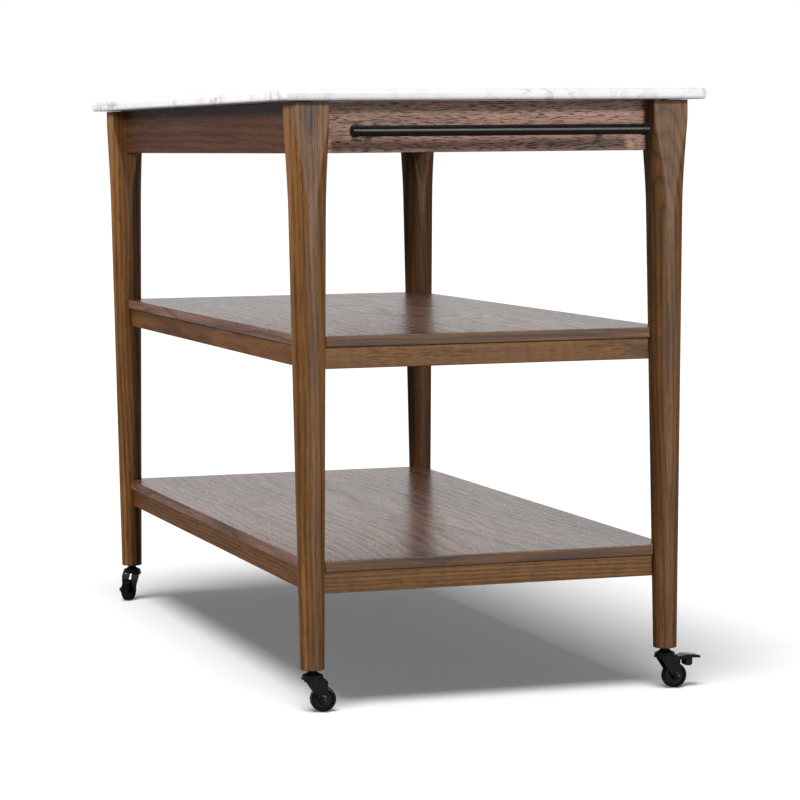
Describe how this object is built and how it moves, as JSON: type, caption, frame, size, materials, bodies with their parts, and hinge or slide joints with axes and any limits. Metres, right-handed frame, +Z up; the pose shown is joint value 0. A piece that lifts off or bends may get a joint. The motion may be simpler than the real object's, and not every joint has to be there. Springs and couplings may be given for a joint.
{
  "type": "kitchen island",
  "caption": "Kitchen island on swivel casters: pale stone top on a dark stained wooden frame with flared round legs, open shelves and a towel bar on one end.",
  "frame": {"origin": "on the floor under the middle of the stone top; the towel bar and the brake pedals reach a little past the top, so the whole box's middle is up to 8 mm away", "axes": "+Z up, +X along the long side towards the end with the towel bar, +Y towards the back, the long side whose casters have brakes"},
  "size_m": [1.3169, 0.6706, 0.914],
  "materials": {
    "stone": "satin",
    "pad": "matte",
    "leg_wood": "satin",
    "apron_wood": "satin",
    "shelf_wood": "satin",
    "rail_wood": "satin",
    "inner_wood": "matte",
    "bar_metal": "satin",
    "caster_metal": "gloss",
    "caster_plastic": "gloss",
    "axle_steel": "gloss",
    "zinc_steel": "satin",
    "ball_steel": "polished"
  },
  "bodies": {
    "island": {"stone_top": "stone", "stone_pads": "pad", "front_left_leg": "leg_wood", "front_left_corner_block": "inner_wood", "front_left_caster_stem": "caster_metal", "front_right_leg": "leg_wood", "front_right_corner_block": "inner_wood", "front_right_caster_stem": "caster_metal", "back_right_leg": "leg_wood", "back_right_corner_block": "inner_wood", "back_right_caster_stem": "caster_metal", "back_left_leg": "leg_wood", "back_left_corner_block": "inner_wood", "back_left_caster_stem": "caster_metal", "front_apron": "apron_wood", "back_apron": "apron_wood", "left_apron": "apron_wood", "right_apron": "apron_wood", "left_cross_rail": "inner_wood", "right_cross_rail": "inner_wood", "hanger_bolts": "zinc_steel", "hanger_washers": "zinc_steel", "hanger_nuts": "zinc_steel", "wood_screws": "zinc_steel", "towel_bar_screws": "zinc_steel", "leg_inserts": "zinc_steel", "swivel_balls": "ball_steel", "middle_shelf_board": "shelf_wood", "middle_front_rail": "rail_wood", "middle_back_rail": "rail_wood", "middle_left_rail": "rail_wood", "middle_right_rail": "rail_wood", "middle_left_batten": "inner_wood", "middle_right_batten": "inner_wood", "lower_shelf_board": "shelf_wood", "lower_front_rail": "rail_wood", "lower_back_rail": "rail_wood", "lower_left_rail": "rail_wood", "lower_right_rail": "rail_wood", "lower_left_batten": "inner_wood", "lower_right_batten": "inner_wood", "towel_bar_tube": "bar_metal", "towel_bar_front_cap": "bar_metal", "towel_bar_back_cap": "bar_metal", "towel_bar_front_post": "bar_metal", "towel_bar_back_post": "bar_metal"},
    "front_left_swivel": {"front_left_caster_fork": "caster_metal", "front_left_caster_axle": "axle_steel"},
    "front_left_wheel": {"front_left_caster_wheel": "caster_plastic"},
    "front_right_swivel": {"front_right_caster_fork": "caster_metal", "front_right_caster_axle": "axle_steel"},
    "front_right_wheel": {"front_right_caster_wheel": "caster_plastic"},
    "back_right_swivel": {"back_right_caster_fork": "caster_metal", "back_right_caster_axle": "axle_steel"},
    "back_right_wheel": {"back_right_caster_wheel": "caster_plastic"},
    "back_left_swivel": {"back_left_caster_fork": "caster_metal", "back_left_caster_axle": "axle_steel"},
    "back_left_wheel": {"back_left_caster_wheel": "caster_plastic"},
    "back_right_pedal": {"back_right_brake_pedal": "caster_plastic"},
    "back_left_pedal": {"back_left_brake_pedal": "caster_plastic"}
  },
  "joints": [
    {"name": "front_left_caster_swivel", "type": "hinge", "parent": "island", "child": "front_left_swivel", "pos_m": [-0.5965, -0.281, 0.05], "axis": [0, 0, 1], "continuous": true},
    {"name": "front_left_wheel_spin", "type": "hinge", "parent": "front_left_swivel", "child": "front_left_wheel", "pos_m": [-0.58445, -0.29075, 0.019], "axis": [0.6293, 0.7771, 0], "continuous": true},
    {"name": "front_right_caster_swivel", "type": "hinge", "parent": "island", "child": "front_right_swivel", "pos_m": [0.5965, -0.281, 0.05], "axis": [0, 0, 1], "continuous": true},
    {"name": "front_right_wheel_spin", "type": "hinge", "parent": "front_right_swivel", "child": "front_right_wheel", "pos_m": [0.59758, -0.26554, 0.019], "axis": [-0.9976, 0.0698, 0], "continuous": true},
    {"name": "back_right_caster_swivel", "type": "hinge", "parent": "island", "child": "back_right_swivel", "pos_m": [0.5965, 0.281, 0.05], "axis": [0, 0, 1], "continuous": true},
    {"name": "back_right_wheel_spin", "type": "hinge", "parent": "back_right_swivel", "child": "back_right_wheel", "pos_m": [0.59515, 0.29644, 0.019], "axis": [-0.9962, -0.0872, 0], "continuous": true},
    {"name": "back_left_caster_swivel", "type": "hinge", "parent": "island", "child": "back_left_swivel", "pos_m": [-0.5965, 0.281, 0.05], "axis": [0, 0, 1], "continuous": true},
    {"name": "back_left_wheel_spin", "type": "hinge", "parent": "back_left_swivel", "child": "back_left_wheel", "pos_m": [-0.60992, 0.28875, 0.019], "axis": [-0.5, -0.866, 0], "continuous": true},
    {"name": "back_right_pedal_press", "type": "hinge", "parent": "back_right_swivel", "child": "back_right_pedal", "pos_m": [0.59502, 0.29794, 0.044], "axis": [-0.9962, -0.0872, 0], "range_deg": [0, 11]},
    {"name": "back_left_pedal_press", "type": "hinge", "parent": "back_left_swivel", "child": "back_left_pedal", "pos_m": [-0.61122, 0.2895, 0.044], "axis": [-0.5, -0.866, 0], "range_deg": [0, 11]}
  ]
}
